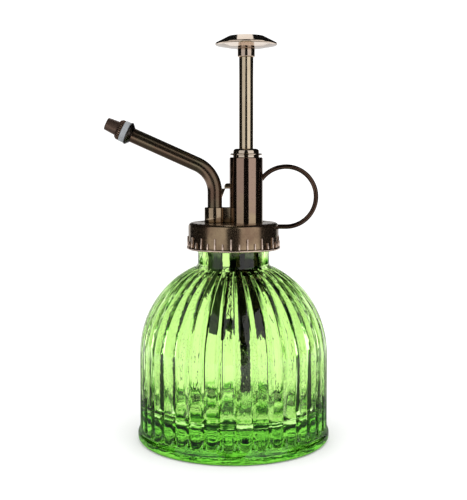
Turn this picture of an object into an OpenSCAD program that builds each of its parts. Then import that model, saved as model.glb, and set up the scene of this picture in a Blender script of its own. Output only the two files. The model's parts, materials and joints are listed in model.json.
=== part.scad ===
// Hand mister: a ribbed glass bottle with a screw-on piston pump, a bent spout,
// an adjustable nozzle, a finger ring and a thumb button on a sprung plunger.
// Millimetres. The origin is the centre of the flat base, +Z is up, the spout points to -X.

/* [Bottle] */
// Largest radius of the foot ring
foot_r = 38; // [35:0.1:41]
// Height where the foot ends and the ribs begin
foot_h = 5.5; // [4:0.1:8]
// Radius of the ribbed body and of the dome above it
body_r = 37.2; // [34:0.1:40]
// Height where the straight body ends and the dome begins
dome_z = 34; // [28:0.5:42]
// Glass wall thickness of the body and dome
wall = 2.6; // [1.8:0.1:4]
// Height of the thick glass floor inside
floor_z = 11; // [6:0.5:14]
// Outside radius of the neck
neck_r = 14.2; // [13.5:0.1:15]
// Radius of the neck's bore
neck_bore_r = 12.2; // [12:0.1:12.6]
// Height of the neck's rim
rim_z = 82.3; // [80:0.1:83]
// Number of ribs round the body
rib_count = 38; // [24:1:48]
// Depth of the valley between two ribs
rib_depth = 0.9; // [0.4:0.1:1.4]
// Angle of one valley from the front, towards +X
valley_at = 1.9; // [0:0.1:9]

/* [Thread] */
// Rise of the cap for one full turn
pitch = 3.2; // [2.5:0.1:4]
// Crest radius of the ridge on the glass
glass_crest_r = 15.6; // [15:0.1:15.8]
// Crest radius of the ridge inside the cap
cap_crest_r = 14.8; // [14.6:0.1:15.2]

/* [Cap] */
// Height of the cap's lower edge
cap_z = 75; // [73:0.1:77]
// Height of the cap's top face
cap_top = 85.4; // [84:0.1:87]
// Outside radius of the cap
cap_r = 17.9; // [17:0.1:19]
// Radius of the flange at the cap's lower edge
cap_flange_r = 18.6; // [18:0.1:20]
// Inside radius of the skirt
skirt_r = 16.4; // [16:0.1:16.8]
// Long ribs round the skirt, with as many short ones between them
grip_count = 18; // [12:1:24]
// Thickness of the sealing ring under the cap
gasket_h = 1.3; // [0.8:0.1:2]

/* [Pump] */
// Distance of the pump axis from the bottle axis
pump_x = 5; // [3:0.1:5.4]
// Outside radius of the barrel
barrel_r = 6.6; // [6:0.1:7]
// Bore radius of the barrel
bore_r = 5.6; // [5:0.1:5.8]
// Height of the barrel's upper edge
barrel_top = 111.2; // [108:0.1:114]
// Height of the barrel foot's lower face
pump_foot = 39; // [36:0.5:44]
// Radius of the plunger rod
rod_r = 2.8; // [2.4:0.1:3.2]
// Travel of the plunger
stroke = 34; // [26:0.5:34]
// Radial running clearance of sliding parts
slip = 0.06; // [0.02:0.01:0.1]

/* [Button] */
// Height of the button's crown
button_top = 158.6; // [157:0.1:164]
// Radius of the button's rim
button_r = 12.2; // [10:0.1:14]
// Height of the ferrule's lower edge
ferrule_z = 150.6; // [149:0.1:153]
// Radius of the ferrule
ferrule_r = 3.4; // [3.2:0.1:4]

/* [Spout] */
// Distance of the riser axis from the bottle axis, towards -X
riser_x = -7.4; // [-8:0.1:-7]
// Outside radius of the spout tube
spout_r = 2.9; // [2.6:0.1:3.2]
// Bore radius of the spout tube
spout_bore = 1.9; // [1.6:0.1:2.2]
// Radius of the socket that holds the riser
socket_r = 4.1; // [3.8:0.1:4.6]
// Height of the socket's upper edge
socket_top = 91.4; // [89:0.1:94]
// Height where the spout starts to bend
bend_z = 97.5; // [95:0.1:100]
// Centre-line radius of the bend
bend_r = 12; // [10:0.5:15]
// Angle through which the spout bends from upright
bend_deg = 65.8; // [55:0.1:80]
// Length of the straight part behind the nozzle
spout_len = 27.87; // [22:0.1:32]

/* [Nozzle] */
// Largest radius of the nut behind the nozzle
nut_r = 4.5; // [4:0.1:5]
// Radius of the pale sealing washer
washer_r = 4.25; // [4:0.05:4.6]
// Outside radius of the knurled collar
collar_r = 4.1; // [3.8:0.1:4.4]
// Teeth round the knurled collar
knurl_count = 32; // [20:2:40]

/* [Finger ring] */
// Centre-line radius of the finger ring
ring_r = 11.9; // [11:0.1:14]
// Wire radius of the finger ring
wire_r = 0.95; // [0.8:0.05:1.2]
// Distance of the ring's centre from the bottle axis
ring_x = 20.8; // [19:0.1:24]
// Height of the ring's centre
ring_z = 95.6; // [94:0.1:98]

/* [Hidden] */
$fn = 96;
// Overlap between cutters that meet, and the step that keeps faces from coinciding
e = 0.01;
step = 0.03;
// Thread: start of the glass ridge, heights of both ridges at crest and root, and the turn at
// which the cap's ridge starts, half a pitch below the glass ridge
thread_z = 77;
crest_w = 0.7;
root_w = 1.7;
cap_start = 100;
cap_thread_z = thread_z - pitch / 2 + pitch * cap_start / 360;
// Cap: underside of the plate, and the ledge that holds the sealing ring
plate_z = rim_z + gasket_h;
ledge_z = 81.8;
ledge_r = 15.4;
grip_w = 0.64;
// Barrel's foot and its side port, the spring's seat and the gland
foot_top = 46;
port_z = 44.6;
port_r = 1.1;
port_arm_r = 2.3;
seat_z = 48.5;
gland_z = 106;
gland_r = 5.2;
packing_r = 4.2;
// Height of the spring when the plunger is down. Piston, with its seal's groove between two
// heights above its lower face
spring_solid = 14;
piston_z = seat_z + spring_solid + stroke;
piston_h = 9;
groove_r = 4.3;
groove_low = 3;
groove_high = 5;
// Rod, button and ferrule
rod_top = 156.6;
button_z = 154.1;
// Check valves: radii and resting heights of the balls, and their cages
inlet_ball_r = 2;
inlet_ball_z = 44;
inlet_room = 2.5;
inlet_cage_z = 47.5;
outlet_ball_r = 1.6;
outlet_ball_z = 47.5;
outlet_cage_z = 50.6;
cage_h = 1;
// Tubes inside the bottle
elbow_z = 41;
tube_r = 3.2;
tube_bore = 2.1;
tube_z = 47;
dip_r = 2.2;
dip_bore = 1.4;
dip_z = 17.8;
// Web, brace and lug between the spout and the barrel
web_w = 4.4;
brace_w = 2.6;
brace_z = 98.8;
// Nozzle: distances from the spout's end, and the shank's and the spray hole's radii
washer_z = 2.1;
collar_z = 4.4;
cone_z = 6.4;
nozzle_end = 11.3;
feed_r = 0.9;
spray_r = 0.35;
plug_r = 1.6;
// Where the ring's straight end starts
ring_start = 16.2;
neck_z = dome_z + sqrt(body_r * body_r - neck_r * neck_r);
inner_r = body_r - wall;
bend_x = riser_x - bend_r;
tip_x = bend_x + bend_r * cos(bend_deg) - spout_len * sin(bend_deg);
tip_z = bend_z + bend_r * sin(bend_deg) + spout_len * cos(bend_deg);

// Points of an arc in the plane, from angle a to angle b.
function arc(x, y, r, a, b, n = 8) = [for (i = [0:n]) [x + r * cos(a + (b - a) * i / n),
    y + r * sin(a + (b - a) * i / n)]];

// An upright hollow cylinder.
module tube(r, bore, z0, z1) {
    difference() {
        translate([0, 0, z0]) cylinder(r = r, h = z1 - z0);
        translate([0, 0, z0 - 1]) cylinder(r = bore, h = z1 - z0 + 2);
    }
}

// A ridge that climbs round the Z axis, between the radii r0 and r1. Its section is w0 high
// at r0 and w1 high at r1.
module ridge(r0, r1, w0, w1, z0, turns, seg = 30) {
    n = ceil(seg * turns);
    pts = [for (i = [0:n]) let (a = 360 * turns * i / n, z = z0 + pitch * turns * i / n)
        for (p = [[r0, -w0], [r0, w0], [r1, w1], [r1, -w1]])
        [p[0] * cos(a), p[0] * sin(a), z + p[1] / 2]];
    side = [for (i = [0:n - 1]) for (k = [0:3]) let (a = 4 * i + k, b = 4 * i + (k + 1) % 4)
        each [[a, a + 4, b + 4], [a, b + 4, b]]];
    ends = [[0, 1, 2], [0, 2, 3], [4 * n + 2, 4 * n + 1, 4 * n], [4 * n + 3, 4 * n + 2, 4 * n]];
    polyhedron(points = pts, faces = concat(side, ends), convexity = 6);
}

// Moves what is drawn along +Z from the origin to the spout's end, pointing out of the spout.
module at_nozzle() {
    translate([tip_x, 0, tip_z]) rotate([0, -bend_deg, 0]) children();
}

// One valley between two ribs, up the body and over the dome. Its upper part is slightly
// smaller and starts inside the lower one.
module valley() {
    translate([0, 0, foot_h + 0.3]) linear_extrude(dome_z - foot_h + 0.3) vee(0);
    translate([0, 0, dome_z]) rotate([90, 0, 0]) rotate([0, 0, -0.5])
        rotate_extrude(angle = 65) vee(step);
}

// The valley's section, smaller all round by d.
module vee(d) {
    polygon([[body_r - rib_depth + d, 0], [body_r + 0.2 - d, d - 0.95], [body_r + 0.2 - d, 0.95 - d]]);
}

module glass_bottle() {
    color([0.45, 0.85, 0.2, 0.5])
    difference() {
        union() {
            rotate_extrude() polygon(concat([[0, 0]], arc(foot_r - 1.2, 1.2, 1.2, -90, 0, 6),
                [[foot_r, 2.4]], arc(foot_r - 1.2, 2.4, 1.2, 0, 50, 4), [[body_r, foot_h],
                [body_r, dome_z], [0, dome_z]]));
            difference() {
                translate([0, 0, dome_z]) sphere(r = body_r);
                translate([0, 0, dome_z - 50]) cylinder(r = 60, h = 50);
            }
            translate([0, 0, dome_z]) rotate_extrude() polygon(concat([[0, 0], [neck_r + 2.2, 0],
                [neck_r + 2.2, neck_z - dome_z - 1.2]],
                arc(neck_r + 2.2, neck_z - dome_z + 1.2, 2.2, -112, -180, 6),
                [[neck_r, rim_z - dome_z - 0.6]],
                arc(neck_r - 0.6, rim_z - dome_z - 0.6, 0.6, 0, 90, 4), [[0, rim_z - dome_z]]));
            ridge(neck_r - 0.4, glass_crest_r, root_w, crest_w, thread_z, 1.2);
        }
        rotate_extrude() polygon(concat([[0, floor_z]], arc(inner_r - 6, floor_z + 6, 6, -90, 0, 8),
            [[inner_r, dome_z], [0, dome_z]]));
        intersection() {
            translate([0, 0, dome_z]) sphere(r = inner_r);
            translate([0, 0, dome_z - e]) cylinder(r = 60, h = 60);
        }
        translate([0, 0, dome_z]) cylinder(r = neck_bore_r, h = 60);
        for (i = [0:rib_count - 1]) rotate([0, 0, -90 + valley_at + i * 360 / rib_count]) valley();
    }
}

module cap_gasket() {
    color([0.75, 0.72, 0.66])
    tube(ledge_r, neck_bore_r, rim_z, plate_z);
}

module screw_cap() {
    color([0.45, 0.36, 0.22])
    difference() {
        union() {
            rotate_extrude() polygon(concat([[0, cap_z], [cap_flange_r - 0.3, cap_z],
                [cap_flange_r, cap_z + 0.3], [cap_flange_r, cap_z + 0.8],
                [cap_flange_r - 0.3, cap_z + 1.1], [cap_r, cap_z + 1.1]],
                arc(cap_r - 1.5, cap_top - 1.5, 1.5, 0, 90, 8), [[0, cap_top]]));
            for (i = [0:grip_count - 1]) rotate([0, 0, -93 + i * 360 / grip_count]) {
                translate([cap_r - 0.6, -grip_w / 2, cap_z + 1]) cube([1.1, grip_w, 4.2]);
                rotate([0, 0, 180 / grip_count])
                translate([cap_r - 0.6, -grip_w / 2, cap_z + 1]) cube([1.1, grip_w, 2.3]);
            }
        }
        difference() {
            union() {
                translate([0, 0, cap_z - 1]) cylinder(r = skirt_r, h = ledge_z - cap_z + 1.1);
                translate([0, 0, ledge_z]) cylinder(r = ledge_r, h = plate_z - ledge_z);
            }
            rotate([0, 0, cap_start])
                ridge(cap_crest_r, skirt_r + 0.4, crest_w, root_w, cap_thread_z, 1.1);
        }
        translate([pump_x, 0, cap_z]) cylinder(r = barrel_r, h = 20);
        translate([riser_x, 0, cap_z]) cylinder(r = tube_r, h = 20);
        translate([ring_start, 0, ring_z - ring_r]) rotate([0, 90, 0]) cylinder(r = wire_r, h = 5);
    }
}

module pump_barrel() {
    color([0.45, 0.36, 0.22])
    translate([pump_x, 0, 0]) difference() {
        rotate_extrude() polygon(concat([[0, foot_top], [barrel_r, foot_top]],
            arc(barrel_r - 0.6, barrel_top - 0.6, 0.6, 0, 90, 5), [[0, barrel_top]]));
        translate([0, 0, foot_top - 1]) cylinder(r = bore_r, h = gland_z - foot_top + 1);
        translate([0, 0, gland_z - 1]) cylinder(r = gland_r, h = 20);
    }
}

module valve_foot() {
    color([0.5, 0.4, 0.26])
    translate([pump_x, 0, 0]) difference() {
        union() {
            translate([0, 0, pump_foot]) cylinder(r = barrel_r, h = foot_top - pump_foot);
            translate([0, 0, foot_top - 1]) cylinder(r = bore_r, h = seat_z - foot_top + 1);
        }
        translate([0, 0, pump_foot - 1]) cylinder(r = dip_r, h = 3);
        translate([0, 0, pump_foot]) cylinder(r = 1.2, h = 8);
        translate([0, 0, inlet_ball_z - 2]) cylinder(r1 = 1.2, r2 = inlet_room, h = 1.3);
        translate([0, 0, inlet_ball_z - 0.7 - e]) cylinder(r = inlet_room, h = 10);
        translate([0, 0, port_z]) rotate([0, -90, 0]) cylinder(r = port_r, h = 20);
    }
}

module inlet_cage() {
    color([0.55, 0.55, 0.55])
    translate([pump_x, 0, 0]) difference() {
        translate([0, 0, inlet_cage_z]) cylinder(r = inlet_room, h = cage_h);
        for (i = [0:2]) rotate([0, 0, 120 * i])
            translate([1.45, 0, inlet_cage_z - 0.5]) cylinder(r = 0.75, h = 2);
    }
}

module gland_nut() {
    color([0.45, 0.36, 0.22])
    translate([pump_x, 0, 0]) difference() {
        rotate_extrude() polygon(concat([[0, gland_z], [gland_r, gland_z], [gland_r, 112], [6.1, 112],
            [6.3, 112.2], [6.3, 112.5], [6.1, 112.7], [5.15, 112.7], [5.15, 113.3]],
            arc(3.85, 113.3, 1.3, 0, 90, 6), [[0, 114.6]]));
        translate([0, 0, gland_z - 1]) cylinder(r = rod_r + slip, h = 20);
        translate([0, 0, gland_z - 1]) cylinder(r = packing_r, h = 3);
    }
}

module gland_seal() {
    color([0.1, 0.1, 0.1])
    translate([pump_x, 0, 0]) tube(packing_r, rod_r + slip, gland_z + 0.2, gland_z + 2);
}

module crossover_elbow() {
    color([0.6, 0.62, 0.64])
    difference() {
        union() {
            translate([riser_x, 0, elbow_z]) cylinder(r = tube_r, h = tube_z - elbow_z);
            translate([riser_x, 0, port_z]) rotate([0, 90, 0]) cylinder(r = port_arm_r, h = 9);
        }
        translate([riser_x, 0, port_z]) rotate([0, 90, 0]) cylinder(r = port_r, h = 12);
        translate([riser_x, 0, port_z - 0.6]) cylinder(r = 1, h = 2);
        translate([riser_x, 0, tube_z - 1.1]) cylinder(r1 = 1, r2 = tube_bore, h = 1.1);
        translate([riser_x, 0, tube_z - e]) cylinder(r = tube_bore, h = 1);
        translate([pump_x, 0, 30]) cylinder(r = barrel_r, h = 30);
    }
}

module discharge_tube() {
    color([0.75, 0.78, 0.8])
    translate([riser_x, 0, 0]) tube(tube_r, tube_bore, tube_z, cap_top);
}

module outlet_cage() {
    color([0.55, 0.55, 0.55])
    translate([riser_x, 0, 0]) difference() {
        translate([0, 0, outlet_cage_z]) cylinder(r = tube_bore, h = cage_h);
        for (i = [0:2]) rotate([0, 0, 120 * i])
            translate([1.2, 0, outlet_cage_z - 0.6]) cylinder(r = 0.6, h = 2);
    }
}

module dip_tube() {
    color([0.12, 0.14, 0.12])
    translate([pump_x, 0, 0]) tube(dip_r, dip_bore, dip_z, pump_foot + 2);
}

module spout_socket() {
    color([0.36, 0.29, 0.18])
    translate([riser_x, 0, 0]) difference() {
        rotate_extrude() polygon([[0, cap_top], [socket_r, cap_top], [socket_r, socket_top - 0.4],
            [socket_r - 0.4, socket_top], [0, socket_top]]);
        translate([0, 0, cap_top - 1]) cylinder(r = spout_bore, h = 10);
        translate([0, 0, cap_top + 1.6]) cylinder(r = spout_r, h = 10);
    }
}

module bridge_web() {
    color([0.3, 0.24, 0.15])
    difference() {
        translate([riser_x, -web_w / 2, cap_top]) cube([pump_x - riser_x, web_w, socket_top - cap_top]);
        translate([riser_x, 0, cap_top - 1]) cylinder(r = socket_r, h = 20);
        translate([pump_x, 0, cap_top - 1]) cylinder(r = barrel_r, h = 20);
    }
}

// The spout's run of radius r, from the socket to the nozzle. The bend is slightly slimmer and
// reaches into both straight parts.
module spout_run(r, low, out) {
    translate([riser_x, 0, low]) cylinder(r = r, h = bend_z - low);
    translate([bend_x, 0, bend_z]) rotate([90, 0, 0]) rotate([0, 0, -1.5])
        rotate_extrude(angle = bend_deg + 3) translate([bend_r, 0]) circle(r = r - step);
    at_nozzle() translate([0, 0, -spout_len]) cylinder(r = r, h = spout_len + out);
}

module spout_tube() {
    color([0.36, 0.31, 0.2])
    difference() {
        spout_run(spout_r, cap_top + 1.6, 2.1);
        spout_run(spout_bore, cap_top, 5);
    }
}

module brace_arm() {
    color([0.36, 0.29, 0.18])
    difference() {
        translate([0, brace_w / 2, 0]) rotate([90, 0, 0]) linear_extrude(brace_w)
            polygon(concat([[-3.6, brace_z], [1, brace_z], [1, brace_z + 2.1]],
                arc(-2.5, brace_z + 1, 1.1, 90, 180, 5)));
        translate([pump_x, 0, 90]) cylinder(r = barrel_r, h = 20);
    }
}

module spout_lug() {
    color([0.36, 0.29, 0.18])
    difference() {
        translate([0, brace_w / 2, 0]) rotate([90, 0, 0]) linear_extrude(brace_w)
            polygon([[riser_x, brace_z - 3.9], [riser_x + spout_r, brace_z - 3.9],
                [-3.2, brace_z - 0.6], [-3.2, brace_z], [riser_x, brace_z]]);
        translate([riser_x, 0, 90]) cylinder(r = spout_r, h = bend_z - 90);
        translate([bend_x, 0, bend_z]) rotate([90, 0, 0]) rotate_extrude(angle = 20)
            translate([bend_r, 0]) circle(r = spout_r);
        translate([riser_x - 4, -2, 94]) cube([4, 4, 6]);
    }
}

module nozzle_nut() {
    color([0.12, 0.11, 0.1])
    at_nozzle() difference() {
        rotate_extrude() polygon([[0, 0], [2.95, 0], [nut_r, 1.4], [nut_r, washer_z - 0.2],
            [nut_r - 0.2, washer_z], [0, washer_z]]);
        translate([0, 0, -1]) cylinder(r = spout_r, h = 5);
    }
}

module nozzle_washer() {
    color([0.72, 0.74, 0.76])
    at_nozzle() difference() {
        rotate_extrude() polygon([[0, washer_z], [washer_r - 0.3, washer_z], [washer_r, washer_z + 0.3],
            [washer_r, collar_z - 0.3], [washer_r - 0.3, collar_z], [0, collar_z]]);
        cylinder(r = spout_bore, h = 8);
    }
}

module nozzle_tip() {
    teeth = [for (i = [0:2 * knurl_count - 1]) let (a = 180 * i / knurl_count,
        r = i % 2 == 0 ? collar_r : collar_r - 0.35) [r * cos(a), r * sin(a)]];
    color([0.33, 0.25, 0.2])
    at_nozzle() difference() {
        union() {
            intersection() {
                translate([0, 0, collar_z]) linear_extrude(2.1) polygon(teeth);
                rotate_extrude() polygon([[0, 4], [collar_r + 1, 4], [collar_r + 1, collar_z + 1],
                    [collar_r - 0.7, collar_z + 2.1], [0, collar_z + 2.1]]);
            }
            rotate_extrude() polygon([[0, cone_z], [2.85, cone_z], [2.5, nozzle_end - 0.25],
                [2.25, nozzle_end], [0, nozzle_end]]);
            translate([0, 0, -3]) cylinder(r = spout_bore - slip, h = 8);
        }
        translate([0, 0, -4]) cylinder(r = feed_r, h = 12);
        translate([0, 0, 7]) cylinder(r = plug_r, h = 3);
        translate([0, 0, 9]) cylinder(r = spray_r, h = 4);
        translate([0, 0, nozzle_end - 0.4]) cylinder(r1 = spray_r, r2 = 1.4, h = 0.42);
    }
}

module swirl_insert() {
    color([0.8, 0.66, 0.35])
    at_nozzle() difference() {
        translate([0, 0, 7.2]) cylinder(r = plug_r, h = 1.9);
        for (i = [0:3]) rotate([0, 0, 90 * i]) translate([1.15, -0.25, 6]) cube([1, 0.5, 4]);
        translate([0, 0, 8.6]) cylinder(r = 0.8, h = 2);
    }
}

module finger_ring() {
    color([0.3, 0.22, 0.14])
    difference() {
        union() {
            translate([ring_x, 0, ring_z]) rotate([90, 0, 0]) rotate([0, 0, -90])
                rotate_extrude(angle = 236) translate([ring_r, 0]) circle(r = wire_r, $fn = 48);
            translate([ring_start, 0, ring_z - ring_r]) rotate([0, 90, 0])
                cylinder(r = wire_r, h = ring_x - ring_start, $fn = 48);
        }
        translate([pump_x, 0, 90]) cylinder(r = barrel_r, h = 30);
    }
}

module return_spring() {
    wire = 0.45;
    coil_r = 4.6;
    turns = 12;
    closed = 1.5;
    flat_pitch = 0.95;
    seg = 18;
    n = turns * seg;
    low = seat_z + wire;
    length = piston_z - wire - low;
    end_h = closed * flat_pitch;
    pts = [for (i = [0:n]) let (t = i / seg, a = 360 * t,
        rise = t < closed ? flat_pitch * t : t > turns - closed ? length - flat_pitch * (turns - t)
        : end_h + (length - 2 * end_h) * (t - closed) / (turns - 2 * closed))
        for (k = [0:7]) let (r = coil_r + wire * cos(45 * k))
        [r * cos(a), r * sin(a), low + rise + wire * sin(45 * k)]];
    side = [for (i = [0:n - 1]) for (k = [0:7]) let (a = 8 * i + k, b = 8 * i + (k + 1) % 8)
        each [[a, b, b + 8], [a, b + 8, a + 8]]];
    ends = [for (k = [1:6]) each [[0, k + 1, k], [8 * n, 8 * n + k, 8 * n + k + 1]]];
    color([0.7, 0.7, 0.72])
    translate([pump_x, 0, 0]) polyhedron(points = pts, faces = concat(side, ends), convexity = 20);
}

module plunger_rod() {
    color([0.8, 0.72, 0.5])
    translate([pump_x, 0, piston_z + 1]) cylinder(r = rod_r, h = rod_top - piston_z - 1);
}

module rod_ferrule() {
    color([0.6, 0.5, 0.32])
    translate([pump_x, 0, 0]) difference() {
        rotate_extrude() polygon([[0, ferrule_z], [ferrule_r - 0.3, ferrule_z],
            [ferrule_r, ferrule_z + 0.3], [ferrule_r, button_z], [0, button_z]]);
        translate([0, 0, ferrule_z - 1]) cylinder(r = rod_r, h = 10);
    }
}

module thumb_button() {
    color([0.5, 0.4, 0.26])
    translate([pump_x, 0, 0]) difference() {
        rotate_extrude() polygon(concat([[0, button_z], [4.2, button_z], [8, button_z + 0.3],
            [11, button_z + 1]], arc(button_r - 0.5, button_z + 1.5, 0.5, -60, 62, 5),
            arc(6.8, button_top - 0.9, 0.9, 56, 90, 3), [[4, button_top - 0.05], [0, button_top - 0.1]]));
        translate([0, 0, button_z - 1]) cylinder(r = rod_r, h = rod_top - button_z + 1);
    }
}

module piston() {
    color([0.82, 0.82, 0.8])
    translate([pump_x, 0, piston_z]) difference() {
        rotate_extrude() polygon([[0, 0], [bore_r - slip - 0.4, 0], [bore_r - slip, 0.4],
            [bore_r - slip, groove_low], [groove_r, groove_low], [groove_r, groove_high],
            [bore_r - slip, groove_high],
            [bore_r - slip, piston_h - 0.4], [bore_r - slip - 0.4, piston_h], [0, piston_h]]);
        translate([0, 0, 1]) cylinder(r = rod_r, h = 20);
    }
}

module piston_seal() {
    color([0.1, 0.1, 0.1])
    translate([pump_x, 0, 0]) tube(bore_r - 0.04, groove_r, piston_z + groove_low, piston_z + groove_high);
}

module inlet_ball() {
    color([0.75, 0.75, 0.78])
    translate([pump_x, 0, inlet_ball_z]) sphere(r = inlet_ball_r, $fn = 48);
}

module outlet_ball() {
    color([0.75, 0.75, 0.78])
    translate([riser_x, 0, outlet_ball_z]) sphere(r = outlet_ball_r, $fn = 48);
}

glass_bottle();
cap_gasket();
screw_cap();
pump_barrel();
valve_foot();
inlet_cage();
gland_nut();
gland_seal();
crossover_elbow();
discharge_tube();
outlet_cage();
dip_tube();
spout_socket();
bridge_web();
spout_tube();
brace_arm();
spout_lug();
nozzle_nut();
finger_ring();
return_spring();
nozzle_washer();
nozzle_tip();
swirl_insert();
plunger_rod();
rod_ferrule();
thumb_button();
piston();
piston_seal();
inlet_ball();
outlet_ball();
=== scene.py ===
"""A hand mister: ribbed green glass bottle, antique-bronze pump head, bent spout, finger ring
and a sprung thumb plunger. Metres, +Z up, the spout towards -X and the front towards -Y."""

import json
import math

import bmesh
import bpy
from mathutils import Matrix, Vector


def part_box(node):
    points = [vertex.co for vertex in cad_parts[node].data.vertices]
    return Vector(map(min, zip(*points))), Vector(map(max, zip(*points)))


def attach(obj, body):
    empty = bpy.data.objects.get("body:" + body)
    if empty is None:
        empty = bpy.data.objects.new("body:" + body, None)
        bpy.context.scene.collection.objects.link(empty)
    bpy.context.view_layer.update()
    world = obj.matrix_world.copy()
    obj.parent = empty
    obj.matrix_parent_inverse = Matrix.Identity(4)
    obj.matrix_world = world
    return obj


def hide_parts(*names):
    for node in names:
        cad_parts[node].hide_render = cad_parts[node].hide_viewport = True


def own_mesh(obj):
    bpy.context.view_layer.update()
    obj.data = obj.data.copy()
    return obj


MM = 0.001
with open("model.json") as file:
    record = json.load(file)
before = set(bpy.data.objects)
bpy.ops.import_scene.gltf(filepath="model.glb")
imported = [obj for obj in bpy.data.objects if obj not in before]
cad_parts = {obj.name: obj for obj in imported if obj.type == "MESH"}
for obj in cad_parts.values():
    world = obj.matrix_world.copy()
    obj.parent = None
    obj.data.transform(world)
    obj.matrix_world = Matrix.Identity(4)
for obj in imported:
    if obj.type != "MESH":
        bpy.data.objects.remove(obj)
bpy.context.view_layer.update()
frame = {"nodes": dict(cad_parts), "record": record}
nodes = frame["nodes"]


# ---------------------------------------------------------------- places from the frame

def middle_x(node):
    low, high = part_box(node)
    return (low.x + high.x) / 2


def bottom(node):
    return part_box(node)[0].z


def top(node):
    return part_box(node)[1].z


def radius(node):
    low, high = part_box(node)
    return (high.x - low.x) / 2


PUMP_X = middle_x("pump_barrel")
RISER_X = middle_x("spout_socket")
FOOT_R = radius("glass_bottle")
RIM_Z = top("glass_bottle")
BODY_R = FOOT_R - 0.8 * MM
WALL = 2.6 * MM
DOME_Z = 34 * MM
FLOOR_Z = 11 * MM
FOOT_TOP = 5.5 * MM
NECK_R = 14.2 * MM
NECK_BORE_R = 12.2 * MM
CAP_Z = bottom("screw_cap")
CAP_TOP = top("screw_cap")
CAP_R = 17.9 * MM
SOCKET_TOP = top("spout_socket")
BARREL_R = radius("pump_barrel")
BARREL_Z = 46 * MM
BARREL_TOP = top("pump_barrel")
BARREL_BORE_R = 5.6 * MM
GLAND_Z = 106 * MM
GLAND_R = 5.2 * MM
ROD_R = 2.8 * MM
SPOUT_R = 2.9 * MM
BEND_R = 12 * MM
BEND_Z = 97.5 * MM
BEND = math.radians(65.8)
SPOUT_LEN = 27.87 * MM
OUT = Vector((-math.sin(BEND), 0, math.cos(BEND)))
BEND_X = RISER_X - BEND_R
BEND_END = Vector((BEND_X + BEND_R * math.cos(BEND), 0, BEND_Z + BEND_R * math.sin(BEND)))
SPOUT_END = BEND_END + OUT * SPOUT_LEN
RING_R = 11.9 * MM
WIRE_R = 0.94 * MM
RING_CENTRE = Vector((20.8 * MM, 0, CAP_TOP + 10.2 * MM))
LOBES = 38
LOBE_DEPTH = 1.0 * MM
VALLEY_AT = math.radians(-90 + 1.9)
THREAD_DEPTH = 1.35 * MM


def arc(x, z, r, start, end, steps):
    """Points (radius, height) of an arc in the section's plane, with angles in degrees."""
    turns = [math.radians(start + (end - start) * i / steps) for i in range(steps + 1)]
    return [(x + r * math.cos(a), z + r * math.sin(a)) for a in turns]


# ---------------------------------------------------------------- mesh helpers

def turned(section, steps=96, closed=False):
    """A solid turned round the Z axis from (radius, height) points. A closed section makes a
    tube."""
    bm = bmesh.new()
    verts = [bm.verts.new((r, 0, z)) for r, z in section]
    pairs = list(zip(verts, verts[1:]))
    if closed:
        pairs.append((verts[-1], verts[0]))
    for a, b in pairs:
        bm.edges.new((a, b))
    bmesh.ops.spin(bm, geom=bm.verts[:] + bm.edges[:], cent=(0, 0, 0), axis=(0, 0, 1),
                   angle=math.tau, steps=steps, use_merge=True)
    bmesh.ops.remove_doubles(bm, verts=bm.verts, dist=1e-8)
    bmesh.ops.recalc_face_normals(bm, faces=bm.faces)
    return bm


def soften(bm, width, angle=28, segments=2):
    """Rounds every edge that turns by more than an angle in degrees."""
    limit = math.radians(angle)
    sharp = [e for e in bm.edges if len(e.link_faces) == 2 and e.calc_face_angle() > limit]
    bmesh.ops.bevel(bm, geom=sharp, offset=width, affect="EDGES", segments=segments, profile=0.5,
                    material=-1, clamp_overlap=True)
    return bm


def moved(bm, matrix):
    bmesh.ops.transform(bm, matrix=matrix, verts=bm.verts)
    return bm


def at_pump(bm):
    return moved(bm, Matrix.Translation((PUMP_X, 0, 0)))


def at_riser(bm):
    return moved(bm, Matrix.Translation((RISER_X, 0, 0)))


def at_spout_end(bm):
    """Turns +Z to the way out of the spout and sets the origin on the spout's end."""
    return moved(bm, Matrix.Translation(SPOUT_END) @ Matrix.Rotation(-BEND, 4, "Y"))


def block(low, high):
    """A box between two corners."""
    low, high = Vector(low), Vector(high)
    bm = bmesh.new()
    size = high - low
    place = Matrix.Translation((low + high) / 2) @ Matrix.Diagonal((*size, 1))
    bmesh.ops.create_cube(bm, size=1, matrix=place)
    return bm


def join(bm, other):
    """Adds another bmesh to this one."""
    mesh = bpy.data.meshes.new("joined")
    other.to_mesh(mesh)
    other.free()
    bm.from_mesh(mesh)
    bpy.data.meshes.remove(mesh)
    return bm


def piece(name, bm, body, material, *replaced, smooth=40, second=None):
    """Makes the finished piece, which rides on a body and stands for CAD nodes. Faces with
    material index 1 get the second material."""
    mesh = bpy.data.meshes.new(name)
    bm.to_mesh(mesh)
    bm.free()
    mesh.shade_smooth()
    mesh.set_sharp_from_angle(angle=math.radians(smooth))
    mesh.materials.append(material)
    if second:
        mesh.materials.append(second)
    ob = bpy.data.objects.new(name, mesh)
    bpy.context.scene.collection.objects.link(ob)
    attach(ob, body)
    if replaced:
        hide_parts(*replaced)
    return ob


# ---------------------------------------------------------------- shader helpers

class Value:
    """One socket of a node tree, with arithmetic that adds Math nodes."""

    def __init__(self, socket):
        self.socket = socket

    def math(self, operation, *others):
        tree = self.socket.id_data
        node = tree.nodes.new("ShaderNodeMath")
        node.operation = operation
        for place, value in zip(node.inputs, (self, *others)):
            put(place, value)
        return Value(node.outputs[0])

    def __add__(self, other):
        return self.math("ADD", other)

    def __mul__(self, other):
        return self.math("MULTIPLY", other)

    def __rsub__(self, other):
        return (self * -1) + other

    def __pow__(self, other):
        return self.math("POWER", other)

    __radd__ = __add__
    __rmul__ = __mul__


def put(socket, value):
    """Links a Value or a socket, or sets a plain value."""
    if isinstance(value, Value):
        value = value.socket
    if isinstance(value, bpy.types.NodeSocket):
        socket.id_data.links.new(value, socket)
    else:
        socket.default_value = value


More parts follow.
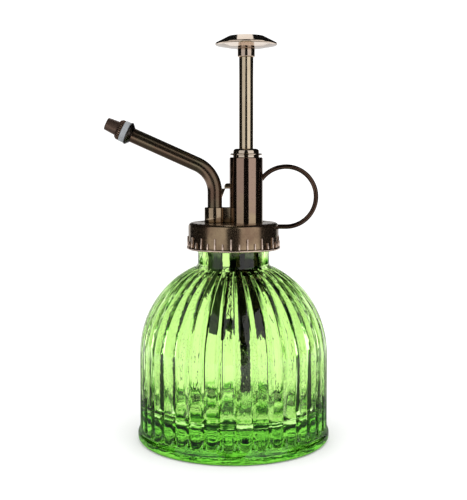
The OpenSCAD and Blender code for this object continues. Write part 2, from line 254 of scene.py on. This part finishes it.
class Nodes:
    """A node tree, with one method that adds any node."""

    def __init__(self, owner):
        owner.use_nodes = True
        self.tree = owner.node_tree

    def node(self, kind, settings=None, **inputs):
        made = self.tree.nodes.new(kind)
        for name, value in (settings or {}).items():
            if name == "stops":
                ramp = made.color_ramp
                for i, (at, colour) in enumerate(value):
                    stop = ramp.elements[i] if i < 2 else ramp.elements.new(at)
                    stop.position = at
                    stop.color = (*colour, 1)
            else:
                setattr(made, name, value)
        for name, value in inputs.items():
            put(made.inputs[name.replace("_", " ")], value)
        return made

    def split(self, vector):
        """The X, Y and Z of a vector."""
        return [Value(s) for s in self.node("ShaderNodeSeparateXYZ", Vector=vector).outputs]

    def ramp(self, value, *stops):
        """A colour that runs through stops of (position, colour)."""
        made = self.node("ShaderNodeValToRGB", {"stops": stops}, Fac=value)
        return Value(made.outputs[0])

    def between(self, value, low, high):
        """0 below low and 1 above high."""
        made = self.node("ShaderNodeMapRange", {"interpolation_type": "SMOOTHSTEP"}, Value=value)
        made.inputs["From Min"].default_value = low
        made.inputs["From Max"].default_value = high
        return Value(made.outputs[0])


class Finish(Nodes):
    """A material with one Principled shader."""

    def __init__(self, slot, **inputs):
        self.material = bpy.data.materials.new(slot)
        self.material["slot"] = slot
        super().__init__(self.material)
        self.shader = self.tree.nodes["Principled BSDF"]
        self.output = self.tree.nodes["Material Output"]
        self.place = Value(self.node("ShaderNodeTexCoord").outputs["Object"])
        self.set(**inputs)

    def set(self, **inputs):
        for name, value in inputs.items():
            put(self.shader.inputs[name.replace("_", " ")], value)
        return self

    def stretched(self, *scale):
        """The place on the object with each axis scaled."""
        return Value(self.node("ShaderNodeMapping", Vector=self.place, Scale=scale).outputs[0])

    def noise(self, scale, detail=3.0, rough=0.5, vector=None):
        made = self.node("ShaderNodeTexNoise", Vector=vector or self.place, Scale=scale,
                         Detail=detail, Roughness=rough)
        return Value(made.outputs[0])

    def mix(self, factor, first, second):
        """Colours mixed by a factor."""
        made = self.node("ShaderNodeMix", {"data_type": "RGBA"})
        put(made.inputs["Factor"], factor)
        for name, value in (("A", first), ("B", second)):
            socket = next(s for s in made.inputs if s.name == name and s.type == "RGBA")
            put(socket, value if isinstance(value, Value) else (*value, 1))
        return Value(next(s for s in made.outputs if s.type == "RGBA"))

    def bump(self, height, distance, strength=1.0):
        made = self.node("ShaderNodeBump", Height=height, Distance=distance, Strength=strength)
        self.set(Normal=made.outputs[0])
        return self


# ---------------------------------------------------------------- finishes

def green_glass():
    """Clear green glass that darkens with depth. The pressed surface is slightly wavy, with fine
    dimples in patches."""
    f = Finish("green_glass", Base_Color=(0.78, 0.95, 0.55, 1), Roughness=0.0, IOR=1.5)
    f.set(Transmission_Weight=1.0)
    depth = f.node("ShaderNodeVolumeAbsorption", Color=(0.4, 0.8, 0.04, 1), Density=34.0)
    put(f.output.inputs["Volume"], depth.outputs[0])
    upright = f.stretched(1, 1, 0.35)
    patches = f.between(f.noise(70, 2.0, 0.5, upright), 0.48, 0.62)
    dimples = f.noise(950, 2.0, 0.6, f.stretched(1, 1, 0.6)) * patches
    waves = f.noise(110, 2.0, 0.5, upright) + f.noise(380, 2.0, 0.5, upright) * 0.25
    return f.bump(waves + dimples * 0.22, 0.0006, 0.6).material


def bronze(slot, light, dark, rough=0.2, painted_shade_below=None, blush=None):
    """Antique bronze: warm metal clouded with darker patina and fine speckle. A blush tints it
    towards its top, and below a height in the neck it is painted almost black, a painted shade
    inside the bottle."""
    f = Finish(slot, Metallic=1.0)
    clouds = f.between(f.noise(60, 4.0, 0.6), 0.36, 0.66)
    specks = f.between(f.noise(2200, 2.0, 0.5), 0.56, 0.72)
    z = f.split(f.place)[2]
    colour = f.mix(clouds, light, dark)
    if blush:
        high = f.between(z + clouds * 0.012, 0.088, 0.108)
        colour = f.mix(high, colour, blush)
    colour = f.mix(specks * 0.25, colour, [c * 0.4 for c in dark])
    # Painted shade: below the given height, inside the bottle's neck, the colour is made almost
    # black.
    if painted_shade_below:
        unshaded_above = f.between(z + clouds * 0.004, painted_shade_below - 0.002, painted_shade_below + 0.004)
        colour = f.mix(unshaded_above, [c * 0.05 for c in dark], colour)
    f.set(Base_Color=colour)
    f.set(Roughness=clouds * 0.03 + specks * 0.03 + rough)
    return f.bump(specks * 0.3 + f.noise(700, 3.0, 0.5), 0.00001, 0.25).material


def turned_brass():
    """Pale polished brass with faint lines round the rod from turning."""
    f = Finish("rod_brass", Metallic=1.0)
    lines = f.noise(1.0, 2.0, 0.6, f.stretched(60, 60, 5200))
    clouds = f.noise(260, 3.0, 0.5)
    f.set(Base_Color=f.mix(clouds, (0.66, 0.56, 0.41), (0.56, 0.45, 0.31)))
    f.set(Roughness=lines * 0.08 + 0.08)
    return f.bump(lines, 0.00002, 0.4).material


def plain(slot, colour, other, rough, metallic=0.0, **more):
    """A moulded or dipped finish with a fine grain and a slight change of colour."""
    f = Finish(slot, Metallic=metallic, **more)
    grains = f.noise(900, 3.0, 0.6)
    f.set(Base_Color=f.mix(f.noise(150, 2.0, 0.5), colour, other))
    f.set(Roughness=grains * 0.16 + rough)
    return f.bump(grains, 0.00003, 0.6).material


GLASS = green_glass()
CAP_BRONZE = bronze("bronze", (0.36, 0.265, 0.165), (0.2, 0.13, 0.085), 0.19)
# The barrel's bronze is painted almost black below the cap, a painted shade inside the bottle.
BRONZE = bronze("bronze", (0.38, 0.29, 0.18), (0.27, 0.185, 0.125), 0.07,
                painted_shade_below=0.077, blush=(0.33, 0.225, 0.175))
WORN_BRONZE = bronze("bronze", (0.62, 0.52, 0.42), (0.52, 0.41, 0.33), 0.06)
SPOUT_BRONZE = bronze("spout_bronze", (0.15, 0.135, 0.085), (0.14, 0.085, 0.06), 0.2)
COLLAR_BRONZE = bronze("spout_bronze", (0.42, 0.33, 0.22), (0.3, 0.22, 0.15), 0.1)
# Lighter bronze for the cap: on the grip ribs partly wear and partly a painted highlight, on the
# flange's lower edge a painted reflection.
RIB_WEAR_AND_HIGHLIGHT_BRONZE = bronze("bronze", (0.68, 0.54, 0.46), (0.5, 0.38, 0.31), 0.25)
RING_BRONZE = bronze("ring_bronze", (0.11, 0.068, 0.048), (0.05, 0.03, 0.022), 0.08)
BRASS = turned_brass()
NUT_BLACK = plain("nut_black", (0.06, 0.052, 0.045), (0.035, 0.03, 0.026), 0.12, metallic=1.0)
WASHER_GREY = plain("washer_grey", (0.2, 0.215, 0.23), (0.26, 0.275, 0.285), 0.3)
NOZZLE_BROWN = plain("nozzle_brown", (0.11, 0.072, 0.054), (0.075, 0.046, 0.035), 0.28,
                     metallic=0.85)
# Lighter tan for the tops of the knurl's teeth: wear and a painted highlight.
NOZZLE_WEAR_AND_HIGHLIGHT = plain("nozzle_brown", (0.3, 0.2, 0.14), (0.2, 0.13, 0.09), 0.3, metallic=0.85)
# The grey tubes in the bottle are painted near black: a painted shade inside the bottle.
TUBE_IN_PAINTED_SHADE = plain("tube_clear", (0.035, 0.05, 0.038), (0.06, 0.08, 0.06), 0.25)
TUBE_DARK = plain("tube_dark", (0.004, 0.004, 0.003), (0.008, 0.007, 0.005), 0.6,
                  Specular_IOR_Level=0.1)
STEEL = plain("steel", (0.6, 0.6, 0.62), (0.5, 0.5, 0.52), 0.2, metallic=1.0)
SEAL_BLACK = plain("seal_black", (0.02, 0.02, 0.02), (0.035, 0.035, 0.035), 0.5)
GASKET_GREY = plain("gasket_grey", (0.36, 0.34, 0.3), (0.42, 0.4, 0.36), 0.5)
PISTON_WHITE = plain("piston_white", (0.7, 0.7, 0.68), (0.76, 0.76, 0.74), 0.4)


# ---------------------------------------------------------------- bottle

def lobe_drop(angle):
    """How far a rounded rib has dropped towards its valley, from 0 on the crest to 1."""
    across = abs(2 * ((angle - VALLEY_AT) * LOBES / math.tau % 1) - 1)
    return 0.05 * across ** 2 + 0.95 * across ** 5


def thread_rise(angle, z):
    """How far the neck's thread ridge stands out at an angle and a height, from 0 to 1."""
    pitch, first, turns = 3.2 * MM, 77 * MM, 1.2
    rise = 0
    for turn in (angle / math.tau % 1, angle / math.tau % 1 + 1):
        if turn < turns:
            away = abs(z - first - pitch * turn)
            end = min(1, turn * 12, (turns - turn) * 12)
            rise = max(rise, min(1, (0.82 * MM - away) / (0.5 * MM)) * end)
    return max(0, rise)


def bottle():
    """Turned inside and out, then pressed into ribs and a thread ridge."""
    neck_round = 2.2 * MM
    neck_arc_z = DOME_Z + math.sqrt(BODY_R ** 2 - NECK_R ** 2) + 1.2 * MM
    lip, corner = 0.7 * MM, 6 * MM
    inner_r = BODY_R - WALL
    foot = 1.2 * MM
    outside = [(0, 0), (FOOT_R * 0.5, 0)]
    outside += arc(FOOT_R - foot, foot, foot, -90, 0, 6)
    outside += arc(FOOT_R - foot, 2 * foot, foot, 0, 50, 4)
    outside += [(BODY_R + 0.1 * MM, 4.6 * MM), (BODY_R, FOOT_TOP), (BODY_R, FOOT_TOP + 0.3 * MM)]
    outside += [(BODY_R, z * MM) for z in (9, 13, 17, 21, 25, 29)]
    outside += arc(0, DOME_Z, BODY_R, 0, 64.6, 32)
    outside += arc(NECK_R + neck_round, neck_arc_z, neck_round, -112, -180, 8)
    outside += [(NECK_R, (75.5 + 0.26 * i) * MM) for i in range(24)]
    outside += arc(NECK_R - lip, RIM_Z - lip, lip, 0, 90, 5)
    inside = arc(NECK_BORE_R + lip, RIM_Z - lip, lip, 90, 180, 4)
    meet = math.degrees(math.acos((NECK_BORE_R + 1.2 * MM) / inner_r))
    inside += [(NECK_BORE_R, 76 * MM), (NECK_BORE_R, 68 * MM)]
    inside += arc(0, DOME_Z, inner_r, meet, 0, 28)
    inside += [(inner_r, 26 * MM)]
    inside += arc(inner_r - corner, FLOOR_Z + corner, corner, 0, -90, 10)
    inside += [(inner_r * 0.4, FLOOR_Z), (0, FLOOR_Z)]
    bm = turned(outside + inside, steps=LOBES * 16)
    for v in bm.verts:
        r, z = math.hypot(v.co.x, v.co.y), v.co.z
        angle = math.atan2(v.co.y, v.co.x)
        centre = Vector((0, 0, min(max(z, 0), DOME_Z)))
        out = v.co - centre
        if z > FOOT_TOP + 0.1 * MM and abs(out.length - BODY_R) < 0.05 * MM:
            fade = min(1, max(0, (r - NECK_R) / (6 * MM))) ** 0.7
            v.co -= out.normalized() * LOBE_DEPTH * fade * lobe_drop(angle)
        elif abs(r - NECK_R) < 0.05 * MM and z > 75.6 * MM:
            away = Vector((v.co.x, v.co.y, 0)).normalized()
            v.co += away * THREAD_DEPTH * thread_rise(angle, z)
    piece("bottle", bm, "bottle", GLASS, "glass_bottle", smooth=60)


# ---------------------------------------------------------------- pump head

def drilled_plate(bm, edge_r, low, high, holes):
    """Adds a plate whose edge is open, with round holes given by their X and radius."""
    rims = []
    for z in (low, high):
        loops = []
        for x, r, steps in [(0, edge_r, 144)] + [(x, r, 64) for x, r in holes]:
            made = bmesh.ops.create_circle(bm, segments=steps, radius=r,
                                           matrix=Matrix.Translation((x, 0, z)))["verts"]
            loops.append(list({e for v in made for e in v.link_edges}))
        bmesh.ops.triangle_fill(bm, use_beauty=True, use_dissolve=False, edges=sum(loops, []))
        rims.append(loops[1:])
    for first, second in zip(*rims):
        bmesh.ops.bridge_loops(bm, edges=first + second)


def cap():
    """A turned shell with a flange, a rounded shoulder and grip ribs, long and short in turn. Its
    top is drilled for the barrel and the discharge tube."""
    skirt, flange = 16.4 * MM, 18.6 * MM
    lip, round_r = 0.3 * MM, 1.5 * MM
    plate = CAP_TOP - 1.8 * MM
    outside = [(flange - lip, CAP_Z), (flange, CAP_Z + lip), (flange, CAP_Z + 0.8 * MM),
               (flange - lip, CAP_Z + 1.1 * MM), (CAP_R, CAP_Z + 1.1 * MM)]
    outside += arc(CAP_R - round_r, CAP_TOP - round_r, round_r, 0, 90, 8)
    edge = 15 * MM
    inside = [(edge, plate), (15.4 * MM, plate), (15.4 * MM, plate - 1.8 * MM),
              (skirt, plate - 1.8 * MM), (skirt, CAP_Z)]
    bm = turned(inside + outside + [(edge, CAP_TOP)], steps=144)
    skirt_end = [e for e in bm.edges if e.is_boundary and abs(e.verts[0].co.z - CAP_Z) < 1e-6]
    bmesh.ops.bridge_loops(bm, edges=skirt_end)
    drilled_plate(bm, edge, plate, CAP_TOP, [(PUMP_X, BARREL_R - 0.3 * MM), (RISER_X, 2.4 * MM)])
    bmesh.ops.remove_doubles(bm, verts=bm.verts, dist=1e-6)
    bmesh.ops.recalc_face_normals(bm, faces=bm.faces)
    soften(bm, 0.1 * MM, 35)
    # The flange's lower edge takes the lighter second material: a painted reflection.
    for face in bm.faces:
        middle = face.calc_center_median()
        if math.hypot(middle.x, middle.y) > CAP_R + 0.3 * MM and middle.z < CAP_Z + 0.6 * MM:
            face.material_index = 1
    for i in range(36):
        height = 4.2 * MM if i % 2 == 0 else 2.3 * MM
        rib = block((CAP_R - 0.4 * MM, -0.32 * MM, CAP_Z + 0.9 * MM),
                    (CAP_R + 0.5 * MM, 0.32 * MM, CAP_Z + 1.0 * MM + height))
        soften(rib, 0.16 * MM, segments=2)
        # The ribs take the lighter second material: wear and a painted highlight.
        for face in rib.faces:
            face.material_index = 1
        join(bm, moved(rib, Matrix.Rotation(math.radians(-93 + 10 * i), 4, "Z")))
    piece("cap", bm, "head", CAP_BRONZE, "screw_cap", second=RIB_WEAR_AND_HIGHLIGHT_BRONZE)


def barrel():
    """The barrel's tube, its foot and the domed gland in its top."""
    r, bore = BARREL_R, BARREL_BORE_R
    section = [(bore, BARREL_Z), (r, BARREL_Z)]
    section += arc(r - 0.6 * MM, BARREL_TOP - 0.6 * MM, 0.6 * MM, 0, 90, 5)
    section += [(GLAND_R, BARREL_TOP), (GLAND_R, GLAND_Z), (bore, GLAND_Z)]
    bm = turned(section, 96, closed=True)
    piece("barrel", at_pump(bm), "head", BRONZE, "pump_barrel")
    low = bottom("valve_foot")
    inlet_r, corner = 2.2 * MM, 0.5 * MM
    foot = [(inlet_r, low)] + arc(r - corner, low + corner, corner, -90, 0, 4)
    foot += [(r, BARREL_Z - 0.3 * MM), (r - 0.25 * MM, BARREL_Z), (inlet_r, BARREL_Z)]
    bm = turned(foot, 96, closed=True)
    piece("barrel_foot", at_pump(bm), "head", BRONZE, "valve_foot")
    hole = ROD_R + 0.05 * MM
    gland = [(hole, GLAND_Z), (GLAND_R, GLAND_Z), (GLAND_R, 112 * MM), (6.1 * MM, 112 * MM),
             (6.3 * MM, 112.2 * MM), (6.3 * MM, 112.5 * MM), (6.1 * MM, 112.7 * MM),
             (5.15 * MM, 112.75 * MM), (5.15 * MM, 113.3 * MM)]
    gland += arc(3.85 * MM, 113.3 * MM, 1.3 * MM, 0, 80, 6) + [(hole, 114.6 * MM)]
    bm = turned(gland, 96, closed=True)
    piece("gland", at_pump(bm), "head", WORN_BRONZE, "gland_nut")


def swept(start, legs, r, segments=40):
    """A round bar of radius r from a start point. A leg is a straight move (a vector) or a bend
    (a centre, an axis, an angle and a count of steps)."""
    bm = bmesh.new()
    first = legs[0]
    turn = first.to_track_quat("Z", "Y").to_matrix().to_4x4()
    bmesh.ops.create_circle(bm, segments=segments, radius=r, cap_ends=False,
                            matrix=Matrix.Translation(start) @ turn)
    front = bm.edges[:]
    bmesh.ops.contextual_create(bm, geom=bm.edges[:])
    for leg in legs:
        if isinstance(leg, Vector):
            made = bmesh.ops.extrude_edge_only(bm, edges=front)["geom"]
            ring = [g for g in made if isinstance(g, bmesh.types.BMVert)]
            bmesh.ops.translate(bm, verts=ring, vec=leg)
            front = [g for g in made if isinstance(g, bmesh.types.BMEdge)
                     and all(v in ring for v in g.verts)]
        else:
            centre, axis, angle, steps = leg
            made = bmesh.ops.spin(bm, geom=front, cent=centre, axis=axis, angle=angle, steps=steps)
            front = [g for g in made["geom_last"] if isinstance(g, bmesh.types.BMEdge)]
    bmesh.ops.contextual_create(bm, geom=front)
    bmesh.ops.recalc_face_normals(bm, faces=bm.faces)
    return bm


def spout():
    """Collar, web, bent tube, the small brace on the barrel and the lug under it."""
    low, high, r = CAP_TOP, SOCKET_TOP, 4.1 * MM
    socket = turned([(0, low), (r, low), (r, high), (SPOUT_R, high), (SPOUT_R, high - 0.5 * MM),
                     (0, high - 0.5 * MM)], 72)
    piece("spout_collar", at_riser(soften(socket, 0.3 * MM, 40, 3)), "head", COLLAR_BRONZE,
          "spout_socket")
    wall = PUMP_X - BARREL_R + 0.5 * MM
    web = soften(block((RISER_X, -2.2 * MM, low), (wall, 2.2 * MM, high)), 0.35 * MM)
    piece("web", web, "head", SPOUT_BRONZE, "bridge_web")
    start = Vector((RISER_X, 0, low + 2 * MM))
    bend = (Vector((BEND_X, 0, BEND_Z)), Vector((0, -1, 0)), BEND, 28)
    legs = [Vector((0, 0, BEND_Z - start.z)), bend, OUT * (SPOUT_LEN + 1.5 * MM)]
    bm = swept(start, legs, SPOUT_R)
    piece("spout", bm, "head", SPOUT_BRONZE, "spout_tube")
    low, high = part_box("brace_arm")
    arm = block((low.x, low.y, low.z), (high.x + 0.4 * MM, high.y, high.z))
    near = 1e-6
    edge = [e for e in arm.edges
            if all(v.co.x < low.x + near and v.co.z > high.z - near for v in e.verts)]
    bmesh.ops.bevel(arm, geom=edge, offset=1.1 * MM, affect="EDGES", segments=6, profile=0.5,
                    material=-1)
    piece("brace", soften(arm, 0.12 * MM, 50), "head", SPOUT_BRONZE, "brace_arm")
    low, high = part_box("spout_lug")
    lug = block(low, high)
    for v in lug.verts:
        if v.co.x > (low.x + high.x) / 2 and v.co.z < (low.z + high.z) / 2:
            v.co.x = low.x + 0.15 * MM
    piece("lug", soften(lug, 0.1 * MM, 20), "head", SPOUT_BRONZE, "spout_lug")


def finger_ring():
    """A wire ring that leaves the cap's shoulder and ends on the barrel."""
    low = RING_CENTRE.z - RING_R
    start = Vector((16.6 * MM, 0, low))
    turn = (RING_CENTRE, Vector((0, -1, 0)), math.radians(235), 72)
    bm = swept(start, [Vector((RING_CENTRE.x - start.x, 0, 0)), turn], WIRE_R, 20)
    piece("ring", bm, "head", RING_BRONZE, "finger_ring")


def nozzle():
    """Nut, washer, and the tip with its knurled collar."""
    bore, nut_end, washer_end, collar_r = 1.9 * MM, 2.1 * MM, 4.4 * MM, 4.1 * MM
    nut_bore = SPOUT_R - 0.2 * MM
    nut = turned([(nut_bore, 0), (2.95 * MM, 0), (4.5 * MM, 1.4 * MM), (4.5 * MM, nut_end),
                  (nut_bore, nut_end)], 72, closed=True)
    piece("nozzle_lock", at_spout_end(soften(nut, 0.12 * MM)), "head", NUT_BLACK, "nozzle_nut")
    washer = turned([(bore, nut_end), (4.25 * MM, nut_end), (4.25 * MM, washer_end),
                     (bore, washer_end)], 72, closed=True)
    piece("seal_washer", at_spout_end(soften(washer, 0.25 * MM, segments=3)), "nozzle_seal",
          WASHER_GREY, "nozzle_washer")
    shank = bore - 0.07 * MM
    section = [(0.9 * MM, -3 * MM), (shank, -3 * MM), (shank, washer_end), (3.9 * MM, washer_end),
               (collar_r, 4.6 * MM), (collar_r, 5.5 * MM), (3.5 * MM, 6.4 * MM),
               (2.85 * MM, 6.5 * MM), (2.82 * MM, 7.2 * MM), (2.52 * MM, 11.05 * MM),
               (2.27 * MM, 11.3 * MM), (1.3 * MM, 11.3 * MM), (0.4 * MM, 10.95 * MM),
               (0.35 * MM, 9 * MM), (0.9 * MM, 8.9 * MM)]
    steps, knurl = 128, 0.45 * MM
    bm = turned(section, steps, closed=True)
    for v in bm.verts:
        r = math.hypot(v.co.x, v.co.y)
        tooth = round(math.atan2(v.co.y, v.co.x) / math.tau * steps) % 4
        if r > 3.4 * MM and tooth >= 2:
            v.co.x *= 1 - knurl / r
            v.co.y *= 1 - knurl / r
    # The teeth's outer faces take the lighter second material: wear and a painted highlight.
    for face in bm.faces:
        middle = face.calc_center_median()
        if math.hypot(middle.x, middle.y) > collar_r - 0.15 * MM:
            face.material_index = 1
    piece("spray_tip", at_spout_end(bm), "nozzle", NOZZLE_BROWN, "nozzle_tip", smooth=30,
          second=NOZZLE_WEAR_AND_HIGHLIGHT)


def plunger():
    """Rod, ferrule and mushroom button."""
    low, high = bottom("plunger_rod"), top("plunger_rod")
    rod = soften(turned([(0, low), (ROD_R, low), (ROD_R, high), (0, high)], 64), 0.2 * MM)
    piece("rod", at_pump(rod), "plunger", BRASS, "plunger_rod")
    low, high, r = bottom("rod_ferrule"), top("rod_ferrule"), radius("rod_ferrule")
    ferrule = turned([(ROD_R, low), (r, low), (r, high), (ROD_R, high)], 64, closed=True)
    piece("ferrule", at_pump(soften(ferrule, 0.25 * MM, segments=3)), "plunger", WORN_BRONZE,
          "rod_ferrule")
    low, high, r = bottom("thumb_button"), top("thumb_button"), radius("thumb_button")
    section = [(0, low), (4.2 * MM, low), (8 * MM, low + 0.3 * MM), (r - 1.2 * MM, low + 1.0 * MM)]
    section += arc(r - 0.5 * MM, low + 1.5 * MM, 0.5 * MM, -60, 62, 6)
    section += arc(6.8 * MM, high - 0.9 * MM, 0.9 * MM, 56, 90, 4)
    section += [(4 * MM, high - 0.05 * MM), (0, high - 0.1 * MM)]
    piece("button", at_pump(turned(section, 96)), "plunger", WORN_BRONZE, "thumb_button", smooth=50)


def tubes():
    """The tubes that hang in the bottle."""
    low, high, r = bottom("discharge_tube"), top("discharge_tube"), radius("discharge_tube")
    bore = 2.1 * MM
    section = [(bore, low), (r, low), (r, high - 1.9 * MM), (bore, high - 1.9 * MM)]
    piece("outlet_tube", at_riser(turned(section, 64, closed=True)), "head", TUBE_IN_PAINTED_SHADE,
          "discharge_tube")
    low, high, r = bottom("dip_tube"), top("dip_tube"), radius("dip_tube")
    bore = 1.4 * MM
    section = [(bore, low), (r, low), (r, high), (bore, high)]
    bm = soften(turned(section, 48, closed=True), 0.15 * MM)
    piece("suction_tube", at_pump(bm), "head", TUBE_DARK, "dip_tube")
    low, r = bottom("crossover_elbow"), 3.2 * MM
    bm = at_riser(soften(turned([(0, low), (r, low), (r, 47 * MM), (0, 47 * MM)], 64), 0.5 * MM))
    arm = swept(Vector((RISER_X, 0, 44.6 * MM)), [Vector((7 * MM, 0, 0))], 2.3 * MM)
    piece("crossover", join(bm, arm), "head", TUBE_IN_PAINTED_SHADE, "crossover_elbow")


def spring():
    """The coil under the piston, at its full length. Its length at the end of the plunger's stroke
    is worked out and not used.
    """
    bm = bmesh.new()
    bm.from_mesh(nodes["return_spring"].data)
    bmesh.ops.remove_doubles(bm, verts=bm.verts, dist=1e-7)
    low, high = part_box("return_spring")
    stroke = next(j for j in frame["record"]["behaviour"]["joints"] if j["name"] == "plunger_push")
    length = high.z - low.z
    ob = piece("spring", bm, "head", STEEL, "return_spring")
    (length - stroke["range_m"][1]) / length
    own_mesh(ob)


def inner_pieces():
    """Finishes for the small hidden pieces that keep their CAD shape."""
    finishes = {"cap_gasket": GASKET_GREY, "inlet_cage": STEEL, "outlet_cage": STEEL,
                "gland_seal": SEAL_BLACK, "piston_seal": SEAL_BLACK,
                "swirl_insert": BRASS, "piston": PISTON_WHITE, "inlet_ball": STEEL,
                "outlet_ball": STEEL}
    for name, material in finishes.items():
        mesh = nodes[name].data
        mesh.materials.clear()
        mesh.materials.append(material)
        mesh.shade_smooth()
        mesh.set_sharp_from_angle(angle=math.radians(35))


# ---------------------------------------------------------------- studio

ROOM = 1.2            # the room's light on everything but shiny metal
SHINE = 0.008         # the room in the shine of metal
STRIP = 0.7           # the low strip behind, in the shine of metal
CLEAR = 1.4           # what glass shows of the room and the floor
WINDOW = 0.62         # half the angle of the white window behind, in radians
CARDS = 6             # white cards all round
ROOF = (0.1, 0.28)    # heights between which the cards fade to a dark roof


def cards(tree, x, y):
    """How bright the room is in a direction when it is seen through glass: a white window
    behind, with dark and white cards all round."""
    aside = x.math("ARCTAN2", y).math("ABSOLUTE")
    window = 1 - tree.between(aside, WINDOW, WINDOW + 0.2)
    wave = (aside * CARDS).math("COSINE")
    return window.math("MAXIMUM", tree.between(wave, -0.5, 0.2))


def through_glass(tree, brightness):
    """The colour of a brightness that is seen through glass."""
    return tree.ramp(brightness, (0.0, (0.0, 0.004, 0.0)), (1.0, (1, 1, 1)),
                     (0.25, (0.03, 0.16, 0.012)), (0.6, (0.36, 0.72, 0.17)))


def seen_through_glass(tree):
    """1 for light that comes to the eye through glass, else 0."""
    depth = Value(tree.node("ShaderNodeLightPath").outputs["Transmission Depth"])
    return depth.math("GREATER_THAN", 0.5)


def floor():
    """A white disc. Seen through glass it loses its own shading and glows with painted light: the
    cards, and a mottled painted shadow and light under the bottle. In shine near the bottle it is
    darkened, a painted shade."""
    bm = bmesh.new()
    bmesh.ops.create_circle(bm, segments=64, radius=0.5, cap_ends=True)
    mesh = bpy.data.meshes.new("floor")
    bm.to_mesh(mesh)
    bm.free()
    f = Finish("floor", Roughness=0.9)
    white = f.mix(f.noise(2), (0.93, 0.93, 0.93), (0.95, 0.95, 0.95))
    inside = seen_through_glass(f)
    x, y, _ = f.split(f.place)
    away = (x * x + y * y) ** 0.5
    # Painted shade: in glossy rays the floor is darkened near the bottle, like the bottle's shadow
    # in its reflections.
    shine = Value(f.node("ShaderNodeLightPath").outputs["Is Glossy Ray"])
    painted_shade_in_shine = shine * (1 - f.between(away, 0.12, 0.25)) * 0.8
    # Base colour black: through glass, so that only the painted glow shows; in shine near the
    # bottle, as a painted shade.
    f.set(Base_Color=f.mix(inside.math("MAXIMUM", painted_shade_in_shine), white, (0, 0, 0)))
    # Painted shadow and light under the bottle: mottled cells, seen only through glass.
    under = f.between(f.noise(60, 3.0, 0.6), 0.42, 0.56) * 0.95 + 0.03
    open_floor = f.between(away, 0.04, 0.06)
    lit = under * (1 - open_floor) + cards(f, x, y) * open_floor
    # The floor glows with this painted light only through glass, though it is no lamp.
    glow = f.mix(inside, (0, 0, 0), through_glass(f, lit))
    f.set(Emission_Color=glow, Emission_Strength=CLEAR)
    mesh.materials.append(f.material)
    ob = bpy.data.objects.new("floor", mesh)
    ob.location.z = -0.0002
    bpy.context.scene.collection.objects.link(ob)


def softbox(name, place, size, radiance):
    """A panel that faces the pump head, out of the camera's sight."""
    light = bpy.data.lights.new(name, "AREA")
    light.shape = "RECTANGLE"
    light.size, light.size_y = size
    light.energy = radiance * math.pi * size[0] * size[1]
    ob = bpy.data.objects.new(name, light)
    ob.location = place
    aim = Vector((0, 0, 0.1)) - Vector(place)
    ob.rotation_euler = aim.to_track_quat("-Z", "Y").to_euler()
    ob.visible_camera = False
    ob.visible_transmission = False
    bpy.context.scene.collection.objects.link(ob)


def room():
    """The room: white to the eye, dark in the shine of metal but for a low strip behind, and
    cards all round where it is seen through glass."""
    world = bpy.data.worlds.new("studio")
    bpy.context.scene.world = world
    n = Nodes(world)
    x, y, z = n.split(n.node("ShaderNodeTexCoord").outputs["Generated"])
    seen = cards(n, x, y) * (1 - n.between(z, *ROOF))
    low_behind = y.math("GREATER_THAN", 0.8) * z.math("LESS_THAN", 0.15)
    shine = Value(n.node("ShaderNodeLightPath").outputs["Is Glossy Ray"])
    open_light = (1 - shine) * ROOM + shine * (low_behind * STRIP + SHINE)
    inside = seen_through_glass(n)
    through = n.tree.nodes["Background"]
    put(through.inputs["Color"], through_glass(n, seen))
    put(through.inputs["Strength"], n.between(x.math("ABSOLUTE"), 0.6, 0.8) * 0.8 + CLEAR)
    plain_back = n.node("ShaderNodeBackground", Color=(1, 1, 1, 1), Strength=open_light)
    both = n.node("ShaderNodeMixShader", Fac=inside)
    put(both.inputs[1], plain_back.outputs[0])
    put(both.inputs[2], through.outputs[0])
    put(n.tree.nodes["World Output"].inputs["Surface"], both.outputs[0])


def camera():
    """In front of the bottle and a little above its middle, tilted slightly down."""
    sensor = 36
    data = bpy.data.cameras.new("camera")
    data.sensor_width = sensor
    data.lens = 1.8082 * sensor
    data.shift_y = -0.0902
    ob = bpy.data.objects.new("camera", data)
    ob.location = (0, -0.3581, 0.1111)
    ob.rotation_euler = (math.radians(87), 0, 0)
    bpy.context.scene.collection.objects.link(ob)
    bpy.context.scene.camera = ob


bottle()
cap()
barrel()
spout()
finger_ring()
nozzle()
plunger()
tubes()
spring()
inner_pieces()
floor()
room()
softbox("left_box", (-0.48, -0.51, 0.3), (0.72, 1.0), 0.8)
softbox("right_box", (0.48, -0.51, 0.3), (0.72, 1.0), 1.1)
softbox("top_box", (0, 0.4, 0.65), (0.17, 0.5), 1.3)
camera()
bpy.context.scene.view_settings.view_transform = "Standard"
